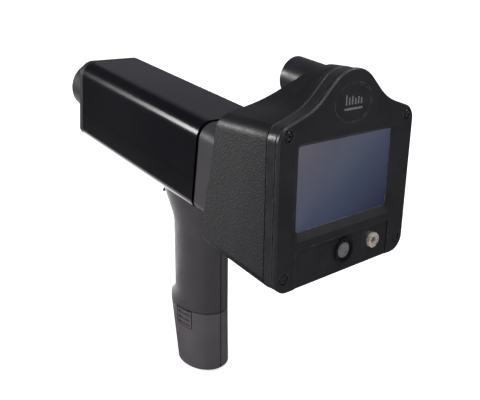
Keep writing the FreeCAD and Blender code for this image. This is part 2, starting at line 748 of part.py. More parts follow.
# ---- grip and trigger ---------------------------------------------------------------------
def grip_solid(inset=0.0):
    """Oval handle: straight shaft, flare up to the barrel, and a collar at the bottom."""
    def oval(z, half_w, front):
        return ellipse_wire(half_w - inset, GRIP_REAR + inset, front - inset, z)

    foot = oval(JOINT_Z, JOINT_HALF_W, JOINT_FRONT)
    lip = oval(COLLAR_LIP, JOINT_HALF_W, JOINT_FRONT)
    waist = oval(COLLAR_TOP, GRIP_HALF_W, GRIP_FRONT)
    shoulder = oval(FLARE_Z, GRIP_HALF_W, GRIP_FRONT)
    flare = loft([oval(z, GRIP_HALF_W + extra, front) for z, extra, front in FLARE])
    return fuse([loft([waist, shoulder], True), flare, loft([waist, lip], True), loft([lip, foot], True)])


def grip_shell():
    """Hollow handle with bosses for its screws, ears for the trigger's pin and a slot for its tip."""
    above = pitched(box(-FAR, FAR, 0, 2 * FAR, BARREL_BOTTOM, FAR))
    outer = grip_solid()
    shell = outer.cut(grip_solid(GRIP_WALL))
    slot_half_w = TRIGGER_HALF_W + PART_GAP
    slot = box(-slot_half_w, slot_half_w, PIVOT_Y - 6.5, FAR, TRIGGER_UNDER[1] - 0.2, 0)
    reach = GRIP_HALF_W - 1
    bosses = [rod_x(y, z, GRIP_BOSS_R, -reach, reach) for y, z in GRIP_SCREWS]
    ears = rod_x(PIVOT_Y, PIVOT_Z, TRIGGER_BOSS_R + 0.2, -reach, reach).cut(slot)
    shell = fuse([shell.cut(above)] + [boss.common(outer) for boss in bosses])
    return shell.cut(slot).fuse(ears.common(outer))


def slice_x(x0, x1):
    """Everything between two planes across X."""
    return box(x0, x1, 0, 2 * FAR, -FAR, FAR)


def seam_groove(solid):
    """Shallow slot all round the middle plane of an oval solid."""
    skin = solid().cut(solid(SEAM_DEPTH))
    return skin.common(slice_x(-SEAM_HALF_W, SEAM_HALF_W))


def grip_left():
    half = GRIP_SHELL.common(slice_x(-FAR, -HALF_GAP))
    holes = [rod_x(y, z, GRIP_SCREW_R, -GRIP_HALF_W + 4, 0) for y, z in GRIP_SCREWS]
    pivot = rod_x(PIVOT_Y, PIVOT_Z, PIVOT_R, -PIVOT_HALF_L, 0)
    return cut(half, *holes, pivot, seam_groove(grip_solid))


def grip_right():
    half = GRIP_SHELL.common(slice_x(HALF_GAP, FAR))
    holes = [rod_x(y, z, GRIP_SCREW_R + 0.3, 0, FAR) for y, z in GRIP_SCREWS]
    heads = [rod_x(y, z, GRIP_HEAD_R + 0.1, GRIP_HEAD_X, FAR) for y, z in GRIP_SCREWS]
    pivot = rod_x(PIVOT_Y, PIVOT_Z, PIVOT_R, 0, PIVOT_HALF_L)
    return cut(half, *holes, *heads, pivot, seam_groove(grip_solid))


def grip_screws():
    top = GRIP_HEAD_X + GRIP_HEAD_T
    screws = []
    for y, z in GRIP_SCREWS:
        head = rod_x(y, z, GRIP_HEAD_R, GRIP_HEAD_X, top)
        head = head.cut(rod_x(y, z, 1.1, top - 1.0, top + 1.0))
        screws.append(head.fuse(rod_x(y, z, GRIP_SCREW_R, -GRIP_HALF_W + 4.4, GRIP_HEAD_X)))
    return Part.Compound(screws)


def trigger():
    """Finger lever: round boss on the pin, hollowed front, tip curling forward."""
    def arc(*spots):
        return Part.Arc(*[Vector(-TRIGGER_HALF_W, y, z) for y, z in spots]).toShape()

    face = [
        arc(TRIGGER_TOP, TRIGGER_HOLLOW, TRIGGER_LIP),
        arc(TRIGGER_LIP, TRIGGER_TIP, TRIGGER_UNDER),
        arc(TRIGGER_UNDER, TRIGGER_BELLY, (TRIGGER_BACK, PIVOT_Z - 1.5)),
    ]
    heel = Vector(-TRIGGER_HALF_W, TRIGGER_BACK, PIVOT_Z + 4.0)
    face.append(Part.makeLine(face[-1].Vertexes[-1].Point, heel))
    face.append(Part.makeLine(heel, face[0].Vertexes[0].Point))
    blade = Part.Face(Part.Wire(face)).extrude(X_AXIS * 2 * TRIGGER_HALF_W)
    boss = rod_x(PIVOT_Y, PIVOT_Z, TRIGGER_BOSS_R, -TRIGGER_HALF_W, TRIGGER_HALF_W)
    return fuse([blade, boss]).cut(rod_x(PIVOT_Y, PIVOT_Z, PIVOT_R + PIVOT_PLAY, -FAR, FAR))


def trigger_pin():
    half_l = PIVOT_HALF_L - 0.2
    return rod_x(PIVOT_Y, PIVOT_Z, PIVOT_R, -half_l, half_l)


def trigger_switch():
    """Switch block behind the trigger, and the button that the trigger presses."""
    size = 2 * SWITCH_HALF_W
    rear, top = SWITCH_FRONT - size, SWITCH_Z0 + size
    block = box(-SWITCH_HALF_W, SWITCH_HALF_W, rear, SWITCH_FRONT, SWITCH_Z0, top)
    button = box(-BUTTON_HALF, BUTTON_HALF, SWITCH_FRONT, BUTTON_FRONT, BUTTON_Z0, BUTTON_Z0 + 2.5)
    return fuse([block, button])


def contact_block():
    """Socket plate in the grip's foot that the battery's terminals press on."""
    rear, front = GRIP_REAR + CONTACT_INSET, GRIP_FRONT - CONTACT_INSET
    outline = ellipse_wire(CONTACT_HALF_W, rear, front, CONTACT_Z)
    return Part.Face(outline).extrude(Z_AXIS * CONTACT_T)


# ---- battery ------------------------------------------------------------------------------
def pack_solid(inset=0.0, top=PACK_TOP, base=PACK_BASE):
    """Tapered oval case with its bottom edge turned in."""
    def oval(z):
        share = (PACK_TOP - z) / (PACK_TOP - PACK_BASE)
        half_w = JOINT_HALF_W + share * (BASE_HALF_W - JOINT_HALF_W) - inset
        front = JOINT_FRONT + share * (BASE_FRONT - JOINT_FRONT) - inset
        return half_w, front

    wide, front = oval(top)
    low_w, low_front = oval(base + BASE_ROUND)
    body = loft([ellipse_wire(wide, GRIP_REAR + inset, front, top),
                 ellipse_wire(low_w, GRIP_REAR + inset, low_front, base + BASE_ROUND)], True)
    turn = loft([ellipse_wire(low_w, GRIP_REAR + inset, low_front, base + BASE_ROUND),
                 ellipse_wire(low_w - BASE_ROUND, GRIP_REAR + inset + BASE_ROUND,
                              low_front - BASE_ROUND, base)], True)
    return fuse([body, turn])


def latch_window(side_gap=0.0, foot_gap=0.0):
    """Space of the two buttons, or of their windows when gaps are given."""
    half_w = LATCH_HALF_W - LATCH_SIDE_GAP + side_gap
    return box(-FAR, FAR, LATCH_Y - half_w, LATCH_Y + half_w, LATCH_Z0 - foot_gap, PACK_TOP + 1)


def pack_shell():
    """Hollow case with a window in each side for the latches and one on top for the terminals."""
    cavity = pack_solid(PACK_WALL, PACK_TOP - PACK_WALL, PACK_BASE + PACK_WALL)
    shell = pack_solid().cut(cavity)
    lid_hole = box(-LID_HALF_W, LID_HALF_W, LID_REAR, LID_FRONT, PACK_TOP - 5, PACK_TOP + 1)
    return cut(shell, latch_window(LATCH_SIDE_GAP, PART_GAP), lid_hole)


def pack_left():
    half = PACK_SHELL.common(slice_x(-FAR, -HALF_GAP))
    return half.cut(seam_groove(pack_solid))


def pack_right():
    half = PACK_SHELL.common(slice_x(HALF_GAP, FAR))
    return half.cut(seam_groove(pack_solid))


def pack_terminals():
    """Two spring pins on a plate that stand up into the grip."""
    half_w, top = LID_HALF_W - 0.1, PACK_TOP - 0.2
    base = box(-half_w, half_w, LID_REAR + 0.1, LID_FRONT - 0.1, PACK_TOP - PACK_WALL - 1.2, top)
    pins = [rod_z(0, y, TERMINAL_R, top, CONTACT_Z - PART_GAP) for y in TERMINAL_Y]
    return fuse([base] + pins)


def pack_cells():
    foot = PACK_BASE + PACK_WALL + 0.4
    cans = [rod_z(0, y, BATTERY_CELL_R, foot, foot + BATTERY_CELL_L) for y in BATTERY_CELL_Y]
    return Part.Compound(cans)


def latch(side):
    """Button in the side of the battery, grooved across for the thumb."""
    body = pack_solid(FIT).cut(pack_solid(LATCH_T))
    keep = box(-FAR, -8.0, 0, 2 * FAR, -FAR, PACK_TOP - 0.6)
    button = body.common(latch_window()).common(keep)
    skin = pack_solid(-1.0).cut(pack_solid(LATCH_GROOVE_DEPTH))
    y0, y1 = LATCH_Y - LATCH_GROOVE_HALF_W, LATCH_Y + LATCH_GROOVE_HALF_W
    for step in range(LATCH_RIBS):
        z = LATCH_Z0 + LATCH_FIRST_RIB + LATCH_RIB_PITCH * step
        button = button.cut(skin.common(box(-FAR, 0, y0, y1, z, z + LATCH_GROOVE)))
    if side > 0:
        button = button.mirror(Vector(0, 0, 0), X_AXIS)
    return button


GRIP_SHELL = grip_shell()
PACK_SHELL = pack_shell()

NODES = {
    "display_bezel": display_bezel,
    "control_panel": control_panel,
    "oval_badge": oval_badge,
    "bezel_screws": bezel_screws,
    "bezel_seal": bezel_seal,
    "middle_frame": middle_frame,
    "housing_seal": housing_seal,
    "display_housing": display_housing,
    "display_glass": display_glass,
    "lcd_panel": lcd_panel,
    "display_board": display_board,
    "knob_ring": knob_ring,
    "dial_knob": dial_knob,
    "encoder_plunger": encoder_plunger,
    "encoder_body": encoder_body,
    "jack_nut": jack_nut,
    "headphone_jack": jack_body,
    "pointer_tube": pointer_tube,
    "pointer_lens": pointer_lens,
    "pointer_module": pointer_module,
    "neck": neck,
    "rear_end_plate": rear_end_plate,
    "barrel_cover": barrel_cover,
    "barrel_tray": barrel_tray,
    "front_end_plate": front_end_plate,
    "front_plate_screws": front_plate_screws,
    "screw_bosses": screw_bosses,
    "sensor_socket": sensor_socket,
    "module_collar": module_collar,
    "module_shell": module_shell,
    "transducers": transducers,
    "module_pins": module_pins,
    "main_board": main_board,
    "board_posts": board_posts,
    "grip_left": grip_left,
    "grip_right": grip_right,
    "grip_screws": grip_screws,
    "trigger": trigger,
    "trigger_pin": trigger_pin,
    "trigger_switch": trigger_switch,
    "contact_block": contact_block,
    "battery_case_left": pack_left,
    "battery_case_right": pack_right,
    "battery_terminals": pack_terminals,
    "battery_cells": pack_cells,
    "latch_left": lambda: latch(-1),
    "latch_right": lambda: latch(1),
}

os.makedirs("parts", exist_ok=True)
for name, build in NODES.items():
    shape = build().translated(Vector(0, -DATUM_REACH, DATUM_HEIGHT))
    solids = len(shape.Solids)
    print(f"{name:22s} solids {solids} volume {shape.Volume:10.1f} valid {shape.isValid()}")
    shape.exportStep(f"parts/{name}.step")
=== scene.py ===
"""Looks for the ultrasonic inspection instrument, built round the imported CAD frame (metres)."""

import json
import math

import bmesh
import bpy
from mathutils import Matrix, Vector


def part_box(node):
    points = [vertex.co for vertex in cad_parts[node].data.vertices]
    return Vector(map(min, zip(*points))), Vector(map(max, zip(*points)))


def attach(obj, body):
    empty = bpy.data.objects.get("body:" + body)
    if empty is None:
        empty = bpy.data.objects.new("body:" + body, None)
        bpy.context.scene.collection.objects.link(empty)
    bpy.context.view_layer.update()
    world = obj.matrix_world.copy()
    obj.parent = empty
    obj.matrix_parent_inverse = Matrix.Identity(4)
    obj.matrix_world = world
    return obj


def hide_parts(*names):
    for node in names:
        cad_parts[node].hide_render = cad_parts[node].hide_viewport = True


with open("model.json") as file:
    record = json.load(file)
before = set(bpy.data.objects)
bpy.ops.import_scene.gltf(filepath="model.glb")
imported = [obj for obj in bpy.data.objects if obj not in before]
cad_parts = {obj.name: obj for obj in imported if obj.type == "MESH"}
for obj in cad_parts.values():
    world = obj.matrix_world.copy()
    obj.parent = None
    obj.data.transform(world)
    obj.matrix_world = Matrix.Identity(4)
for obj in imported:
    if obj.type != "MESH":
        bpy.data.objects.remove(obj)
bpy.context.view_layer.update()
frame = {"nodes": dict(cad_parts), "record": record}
NODES = frame["nodes"]
MM = 0.001

# ---- places taken from the frame ------------------------------------------------------------
FACE_LOW, FACE_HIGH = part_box("display_bezel")
HOUSE_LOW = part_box("display_housing")[0]
GLASS_LOW, GLASS_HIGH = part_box("display_glass")
SCREWS_LOW, SCREWS_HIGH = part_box("bezel_screws")
# centre of the four bezel screws, on the face the user reads
DATUM = Vector((0.0, FACE_LOW.y, (SCREWS_LOW.z + SCREWS_HIGH.z) / 2))

# ---- camera ---------------------------------------------------------------------------------
EYE = Vector((-0.2324, -0.3096, 0.2452))
AZIMUTH = -40.42          # where the camera stands, in degrees round the object
ELEVATION = 18.83
ROLL = 0.68
LENS = 48.70              # millimetres
SENSOR = 36.0


def add_camera():
    a, e, r = (math.radians(value) for value in (AZIMUTH, ELEVATION, ROLL))
    back = Vector((math.sin(a) * math.cos(e), -math.cos(a) * math.cos(e), math.sin(e)))
    right = Vector((0, 0, 1)).cross(back).normalized()
    up = back.cross(right)
    right_r = right * math.cos(r) + up * math.sin(r)
    up_r = up * math.cos(r) - right * math.sin(r)
    data = bpy.data.cameras.new("camera")
    data.lens = LENS
    data.sensor_width = SENSOR
    camera = bpy.data.objects.new("camera", data)
    rotation = Matrix((right_r, up_r, back)).transposed().to_4x4()
    camera.matrix_world = Matrix.Translation(EYE) @ rotation
    bpy.context.scene.collection.objects.link(camera)
    bpy.context.scene.camera = camera


# ---- studio ---------------------------------------------------------------------------------
MIDDLE = Vector((0.0, 0.0, 0.13))
WHITE = (1, 1, 1, 1)
ROOM = (0.07, 0.07, 0.08, 1)
FLOOR_HALF = 12.0
FLOOR_DROP = 0.0004       # keeps the floor just clear of the battery's base
FLOOR_COLOUR = (0.80, 0.80, 0.80, 1)
FLOOR_GLOW = ((0.15, 0.80), (0.9, 1.1))   # distance from the middle, glow there
MIRRORED_DARK = 0.04      # what mirror rays see of the floor, and of its bright card
MIRRORED_CARD = 3.0
FRONT_SHARE = 0.15        # strength of the card before the object, beside the one behind it


def softbox(name, direction, distance, width, height, power, colour=(1, 1, 1)):
    """An area lamp that stands off from the object's middle in a given direction."""
    data = bpy.data.lights.new(name, "AREA")
    data.shape = "RECTANGLE"
    data.size = width
    data.size_y = height
    data.energy = power
    data.color = colour
    lamp = bpy.data.objects.new(name, data)
    away = Vector(direction).normalized()
    lamp.location = MIDDLE + away * distance
    lamp.rotation_euler = (-away).to_track_quat("-Z", "Y").to_euler()
    lamp.visible_camera = False
    bpy.context.scene.collection.objects.link(lamp)


def lamps():
    softbox("overhead", (-0.12, -0.40, 0.90), 1.1, 0.42, 0.30, 5.0)
    softbox("strip_left", (-0.71, 0.65, 0.28), 1.2, 0.28, 0.34, 6.5)
    softbox("wall_right", (0.61, 0.60, 0.51), 1.6, 1.3, 1.0, 0.6, (0.90, 0.90, 1.0))
    softbox("top_right", (0.61, -0.10, 0.78), 1.2, 0.40, 0.40, 2.5)
    softbox("fill_left", (-0.95, -0.05, 0.10), 1.2, 0.7, 0.5, 0.9, (1.0, 0.97, 0.98))
    softbox("front_right", (0.61, -0.46, 0.62), 1.2, 0.22, 0.22, 1.2)
    softbox("rim_back", (0.15, 0.95, 0.16), 1.3, 0.35, 0.35, 4.0)


def background():
    """White to the camera, a dim grey room to everything else."""
    scene = bpy.context.scene
    scene.view_settings.view_transform = "Standard"
    world = bpy.data.worlds.new("studio")
    world.use_nodes = True
    scene.world = world
    nodes, links = world.node_tree.nodes, world.node_tree.links
    nodes.clear()
    output = nodes.new("ShaderNodeOutputWorld")
    room = nodes.new("ShaderNodeBackground")
    room.inputs["Color"].default_value = ROOM
    white = nodes.new("ShaderNodeBackground")
    white.inputs["Color"].default_value = WHITE
    mix = nodes.new("ShaderNodeMixShader")
    path = nodes.new("ShaderNodeLightPath")
    links.new(path.outputs["Is Camera Ray"], mix.inputs[0])
    links.new(room.outputs[0], mix.inputs[1])
    links.new(white.outputs[0], mix.inputs[2])
    links.new(mix.outputs[0], output.inputs[0])


def smooth_step(tree, source, low, high):
    node = tree.nodes.new("ShaderNodeMapRange")
    node.interpolation_type = "SMOOTHSTEP"
    node.inputs["From Min"].default_value = low
    node.inputs["From Max"].default_value = high
    tree.links.new(source, node.inputs["Value"])
    return node.outputs[0]


def product(tree, a, b):
    node = tree.nodes.new("ShaderNodeMath")
    node.operation = "MULTIPLY"
    tree.links.new(a, node.inputs[0])
    tree.links.new(b, node.inputs[1])
    return node.outputs[0]


def floor_material():
    """Pale and faintly glowing. Mirror rays see it dark, but for two bright cards."""
    material = bpy.data.materials.new("pale_floor")
    material.use_nodes = True
    tree = material.node_tree
    nodes, links = tree.nodes, tree.links
    shader = nodes["Principled BSDF"]
    shader.inputs["Base Color"].default_value = FLOOR_COLOUR
    shader.inputs["Roughness"].default_value = 0.9
    shader.inputs["Emission Color"].default_value = WHITE
    reach = nodes.new("ShaderNodeVectorMath")
    reach.operation = "LENGTH"
    place = nodes.new("ShaderNodeTexCoord").outputs["Object"]
    links.new(place, reach.inputs[0])
    glow = nodes.new("ShaderNodeMapRange")
    (near, near_glow), (far, far_glow) = FLOOR_GLOW
    glow.inputs["From Min"].default_value = near
    glow.inputs["From Max"].default_value = far
    glow.inputs["To Min"].default_value = near_glow
    glow.inputs["To Max"].default_value = far_glow
    links.new(reach.outputs["Value"], glow.inputs["Value"])
    links.new(glow.outputs[0], shader.inputs["Emission Strength"])
    split = nodes.new("ShaderNodeSeparateXYZ")
    links.new(place, split.inputs[0])
    behind = product(tree, smooth_step(tree, split.outputs["X"], -0.22, 0.02),
                     smooth_step(tree, split.outputs["Y"], 0.05, 0.22))
    before = product(tree, smooth_step(tree, split.outputs["X"], -0.30, -0.40),
                     smooth_step(tree, split.outputs["Y"], -0.28, -0.38))
    card = nodes.new("ShaderNodeMath")
    card.operation = "MULTIPLY_ADD"
    links.new(before, card.inputs[0])
    card.inputs[1].default_value = FRONT_SHARE
    links.new(behind, card.inputs[2])
    mirrored = nodes.new("ShaderNodeEmission")
    mirrored.inputs["Color"].default_value = WHITE
    strength = nodes.new("ShaderNodeMapRange")
    strength.inputs["To Min"].default_value = MIRRORED_DARK
    strength.inputs["To Max"].default_value = MIRRORED_CARD
    links.new(card.outputs[0], strength.inputs["Value"])
    links.new(strength.outputs[0], mirrored.inputs["Strength"])
    mix = nodes.new("ShaderNodeMixShader")
    path = nodes.new("ShaderNodeLightPath")
    links.new(path.outputs["Is Glossy Ray"], mix.inputs[0])
    links.new(shader.outputs[0], mix.inputs[1])
    links.new(mirrored.outputs[0], mix.inputs[2])
    links.new(mix.outputs[0], nodes["Material Output"].inputs[0])
    return material


def floor():
    signs = ((-1, -1), (1, -1), (1, 1), (-1, 1))
    corners = [(x * FLOOR_HALF, y * FLOOR_HALF, -FLOOR_DROP) for x, y in signs]
    mesh = bpy.data.meshes.new("floor")
    mesh.from_pydata(corners, [], [(0, 1, 2, 3)])
    plane = bpy.data.objects.new("floor", mesh)
    bpy.context.scene.collection.objects.link(plane)
    mesh.materials.append(floor_material())


# ---- materials ------------------------------------------------------------------------------
# The lighter edge line is wear, and on head_plastic a painted highlight
EDGE_WEAR_AND_HIGHLIGHT = 0.5 * MM      # reach of the lighter line along a moulded edge
# Colours of a painted reflection on the screen: light grey, middle blue and dark navy
FILM_PAINTED_REFLECTION_LIGHT = (0.20, 0.19, 0.23)
FILM_PAINTED_REFLECTION_MIDDLE = (0.12, 0.145, 0.22)
FILM_PAINTED_REFLECTION_DARK = (0.045, 0.052, 0.11)
# Strength of a painted glow: the switched-off screen gives off its painted reflection colours
FILM_PAINTED_GLOW = 0.45


class Finish:
    """A Principled material with helpers for its procedural detail."""

    def __init__(self, name, colour, roughness, **sockets):
        self.material = bpy.data.materials.new(name)
        self.material.use_nodes = True
        self.nodes = self.material.node_tree.nodes
        self.links = self.material.node_tree.links
        self.shader = self.nodes["Principled BSDF"]
        self.colour = colour
        self.shader.inputs["Base Color"].default_value = (*colour, 1)
        self.shader.inputs["Roughness"].default_value = roughness
        for socket, value in sockets.items():
            self.shader.inputs[socket.replace("_", " ")].default_value = value
        self.place = self.nodes.new("ShaderNodeTexCoord").outputs["Object"]

    def noise(self, scale, detail=4.0, roughness=0.6, stretch=(1, 1, 1)):
        mapping = self.nodes.new("ShaderNodeMapping")
        mapping.inputs["Scale"].default_value = stretch
        self.links.new(self.place, mapping.inputs["Vector"])
        noise = self.nodes.new("ShaderNodeTexNoise")
        noise.inputs["Scale"].default_value = scale
        noise.inputs["Detail"].default_value = detail
        noise.inputs["Roughness"].default_value = roughness
        self.links.new(mapping.outputs[0], noise.inputs["Vector"])
        return noise.outputs["Fac"]

    def cells(self, scale):
        cells = self.nodes.new("ShaderNodeTexVoronoi")
        cells.inputs["Scale"].default_value = scale
        self.links.new(self.place, cells.inputs["Vector"])
        return cells.outputs["Distance"]

    def ramp(self, source, low, high, at=(0.35, 0.65)):
        ramp = self.nodes.new("ShaderNodeMapRange")
        ramp.inputs["From Min"].default_value = at[0]
        ramp.inputs["From Max"].default_value = at[1]
        ramp.inputs["To Min"].default_value = low
        ramp.inputs["To Max"].default_value = high
        self.links.new(source, ramp.inputs["Value"])
        return ramp.outputs[0]

    def math(self, kind, a, b):
        node = self.nodes.new("ShaderNodeMath")
        node.operation = kind
        for socket, value in zip(node.inputs, (a, b)):
            if isinstance(value, (int, float)):
                socket.default_value = value
            else:
                self.links.new(value, socket)
        return node.outputs[0]

    def vary_roughness(self, source, low, high):
        self.links.new(self.ramp(source, low, high), self.shader.inputs["Roughness"])

    def vary_colour(self, source, other, at=(0.35, 0.65)):
        mix = self.nodes.new("ShaderNodeMix")
        mix.data_type = "RGBA"
        mix.inputs[6].default_value = (*self.colour, 1)
        mix.inputs[7].default_value = (*other, 1)
        existing = self.shader.inputs["Base Color"]
        if existing.is_linked:
            self.links.new(existing.links[0].from_socket, mix.inputs[6])
        self.links.new(self.ramp(source, 0.0, 1.0, at), mix.inputs[0])
        self.links.new(mix.outputs[2], existing)

    def bump(self, source, depth, strength=1.0):
        bump = self.nodes.new("ShaderNodeBump")
        bump.inputs["Distance"].default_value = depth
        bump.inputs["Strength"].default_value = strength
        self.links.new(source, bump.inputs["Height"])
        existing = self.shader.inputs["Normal"]
        if existing.is_linked:
            self.links.new(existing.links[0].from_socket, bump.inputs["Normal"])
        self.links.new(bump.outputs[0], existing)

    def edge_mask(self, radius):
        """1 near sharp edges, 0 on open faces."""
        bevel = self.nodes.new("ShaderNodeBevel")
        bevel.samples = 4
        bevel.inputs["Radius"].default_value = radius
        geometry = self.nodes.new("ShaderNodeNewGeometry")
        dot = self.nodes.new("ShaderNodeVectorMath")
        dot.operation = "DOT_PRODUCT"
        self.links.new(bevel.outputs[0], dot.inputs[0])
        self.links.new(geometry.outputs["Normal"], dot.inputs[1])
        return self.ramp(dot.outputs["Value"], 1.0, 0.0, (0.80, 0.995))


def satin_black(name, colour=(0.018, 0.018, 0.021), roughness=0.36, edge_wear_and_highlight=(0.07, 0.07, 0.075)):
    finish = Finish(name, colour, roughness)
    finish.vary_colour(finish.noise(90, 5), tuple(c * 1.35 for c in colour))
    finish.vary_roughness(finish.noise(160, 3), roughness - 0.05, roughness + 0.07)
    # Lighter edges: wear, and on head_plastic, whose edge colour is bright, a painted highlight
    edges = finish.math("MULTIPLY", finish.edge_mask(EDGE_WEAR_AND_HIGHLIGHT), finish.noise(400, 3))
    finish.vary_colour(edges, edge_wear_and_highlight, (0.35, 0.8))
    finish.bump(finish.noise(2600, 3), 0.02 * MM, 0.5)
    return finish.material


def gloss_enamel():
    finish = Finish("barrel_enamel", (0.002, 0.002, 0.004), 0.23)
    finish.vary_roughness(finish.noise(20, 2), 0.22, 0.25)
    finish.vary_colour(finish.noise(30, 3), (0.003, 0.003, 0.006))
    return finish.material


def leathery():
    """Leather grain on the flat flanks, smooth satin everywhere else."""
    finish = Finish("textured_plastic", (0.009, 0.009, 0.011), 0.40)
    facing = finish.nodes.new("ShaderNodeNewGeometry")
    split = finish.nodes.new("ShaderNodeSeparateXYZ")
    finish.links.new(facing.outputs["True Normal"], split.inputs[0])
    flank = finish.ramp(finish.math("ABSOLUTE", split.outputs["X"], 0.0), 0.0, 1.0, (0.965, 0.998))
    blotch = finish.ramp(finish.noise(1250, 2), 0.35, 1.0, (0.40, 0.62))
    finish.vary_colour(finish.math("MULTIPLY", flank, blotch), (0.026, 0.026, 0.029), (0.0, 1.0))
    satin = finish.ramp(finish.noise(300, 3), 0.38, 0.44)
    rough = finish.math("ADD", finish.math("MULTIPLY", flank, 0.10), satin)
    finish.links.new(rough, finish.shader.inputs["Roughness"])
    grain = finish.math("ADD", finish.cells(1050), finish.math("MULTIPLY", finish.noise(800, 4), 0.9))
    finish.bump(finish.math("MULTIPLY", grain, flank), 0.20 * MM, 0.8)
    finish.bump(finish.noise(2600, 3), 0.012 * MM, 0.5)
    return finish.material


def soft_grey(name, colour, roughness, grain=1800):
    finish = Finish(name, colour, roughness)
    finish.vary_colour(finish.noise(60, 4), tuple(c * 1.18 for c in colour))
    finish.vary_roughness(finish.noise(140, 3), roughness - 0.05, roughness + 0.06)
    edges = finish.math("MULTIPLY", finish.edge_mask(EDGE_WEAR_AND_HIGHLIGHT), finish.noise(500, 3))
    finish.vary_colour(edges, tuple(c * 1.9 for c in colour), (0.35, 0.8))
    finish.bump(finish.noise(grain, 3), 0.03 * MM, 0.6)
    return finish.material


def screen_glass():
    """Thin clear sheet: see-through head on, mirroring at a slant, with a faint anti-glare grain."""
    finish = Finish("screen_glass", (1, 1, 1), 0.1)
    nodes, links = finish.nodes, finish.links
    clear = nodes.new("ShaderNodeBsdfTransparent")
    mirror = nodes.new("ShaderNodeBsdfGlossy")
    links.new(finish.ramp(finish.noise(30, 3), 0.06, 0.14), mirror.inputs["Roughness"])
    edge = nodes.new("ShaderNodeFresnel")
    edge.inputs["IOR"].default_value = 1.45
    mix = nodes.new("ShaderNodeMixShader")
    links.new(edge.outputs[0], mix.inputs[0])
    links.new(clear.outputs[0], mix.inputs[1])
    links.new(mirror.outputs[0], mix.inputs[2])
    links.new(mix.outputs[0], nodes["Material Output"].inputs[0])
    return finish.material


def display_film_painted_reflection_and_glow():
    """Panel of a switched-off screen with a painted reflection: grey at its upper left corner,
    deepening to navy at the lower right; the same colours also give a painted glow.
    """
    finish = Finish("lcd", FILM_PAINTED_REFLECTION_LIGHT, 0.4)
    split = finish.nodes.new("ShaderNodeSeparateXYZ")
    finish.links.new(finish.place, split.inputs[0])
    # Painted reflection, fading across and down the panel
    across = finish.ramp(split.outputs["X"], 0.0, 0.5, (GLASS_LOW.x, GLASS_HIGH.x))
    down = finish.ramp(split.outputs["Z"], 0.5, 0.0, (GLASS_LOW.z, GLASS_HIGH.z))
    painted_reflection_fade = finish.math("ADD", across, down)
    finish.vary_colour(painted_reflection_fade, FILM_PAINTED_REFLECTION_MIDDLE, (0.05, 0.55))
    finish.vary_colour(painted_reflection_fade, FILM_PAINTED_REFLECTION_DARK, (0.45, 0.98))
    # The painted reflection colour also feeds the emission, as a painted glow
    painted_reflection_tint = finish.shader.inputs["Base Color"].links[0].from_socket
    finish.links.new(painted_reflection_tint, finish.shader.inputs["Emission Color"])
    finish.shader.inputs["Emission Strength"].default_value = FILM_PAINTED_GLOW
    return finish.material


def metal(name, colour, roughness, scratch=0.06, metallic=1.0):
    finish = Finish(name, colour, roughness, Metallic=metallic)
    brushed = finish.noise(300, 4, stretch=(1, 6, 1))
    finish.vary_roughness(brushed, roughness - scratch, roughness + scratch)
    finish.vary_colour(finish.noise(220, 4), tuple(c * 0.7 for c in colour))
    finish.bump(finish.noise(1600, 3, stretch=(1, 8, 1)), 0.01 * MM, 0.4)
    return finish.material


def plain_plastic(name, colour, roughness):
    finish = Finish(name, colour, roughness)
    finish.vary_colour(finish.noise(200, 3), tuple(c * 1.4 for c in colour))
    finish.vary_roughness(finish.noise(300, 3), roughness - 0.05, roughness + 0.08)
    finish.bump(finish.noise(1500, 3), 0.02 * MM, 0.4)
    return finish.material


def clear_lens():
    finish = Finish("clear_lens", (0.8, 0.85, 0.9), 0.03, Transmission_Weight=1.0, IOR=1.5)
    finish.vary_roughness(finish.noise(80, 3), 0.02, 0.06)
    return finish.material


def circuit_board():
    finish = Finish("circuit_board", (0.015, 0.10, 0.045), 0.35)
    finish.vary_colour(finish.cells(260), (0.04, 0.20, 0.09), (0.2, 0.5))
    finish.bump(finish.cells(260), 0.03 * MM, 0.5)
    return finish.material


MATERIALS = {
    # head_plastic's bright edge colour is a painted highlight along its moulded edges
    "head_plastic": satin_black("head_plastic", (0.015, 0.015, 0.018), edge_wear_and_highlight=(0.26, 0.26, 0.27)),
    "textured_plastic": leathery(),
    "badge": satin_black("badge", (0.016, 0.016, 0.019), 0.30, (0.20, 0.20, 0.21)),
    "black_steel": satin_black("black_steel", (0.014, 0.014, 0.015), 0.22, (0.3, 0.3, 0.3)),
    "seal_rubber": plain_plastic("seal_rubber", (0.004, 0.004, 0.004), 0.75),
    "screen_glass": screen_glass(),
    "lcd": display_film_painted_reflection_and_glow(),
    "circuit_board": circuit_board(),
    "gloss_black": satin_black("gloss_black", (0.008, 0.008, 0.009), 0.14, (0.03, 0.03, 0.03)),
    "dial_metal": metal("dial_metal", (0.30, 0.29, 0.30), 0.32, metallic=0.5),
    "nylon": plain_plastic("nylon", (0.02, 0.02, 0.022), 0.5),
    "bright_nickel": metal("bright_nickel", (0.90, 0.82, 0.74), 0.24, metallic=0.55),
    "clear_lens": clear_lens(),
    "black_anodised": metal("black_anodised", (0.02, 0.02, 0.022), 0.4),
    "neck_plastic": soft_grey("neck_plastic", (0.036, 0.032, 0.036), 0.5),
    "barrel_enamel": gloss_enamel(),
    "end_plastic": satin_black("end_plastic", (0.016, 0.016, 0.018), 0.52),
    "bare_aluminium": metal("bare_aluminium", (0.62, 0.62, 0.63), 0.35),
    "gold_pin": metal("gold_pin", (0.75, 0.58, 0.28), 0.25),
    "grip_plastic": soft_grey("grip_plastic", (0.052, 0.045, 0.051), 0.46),
    "bare_steel": metal("bare_steel", (0.55, 0.55, 0.56), 0.3),
    "battery_plastic": soft_grey("battery_plastic", (0.085, 0.076, 0.084), 0.38),
    "cell_sleeve": plain_plastic("cell_sleeve", (0.05, 0.10, 0.22), 0.3),
}
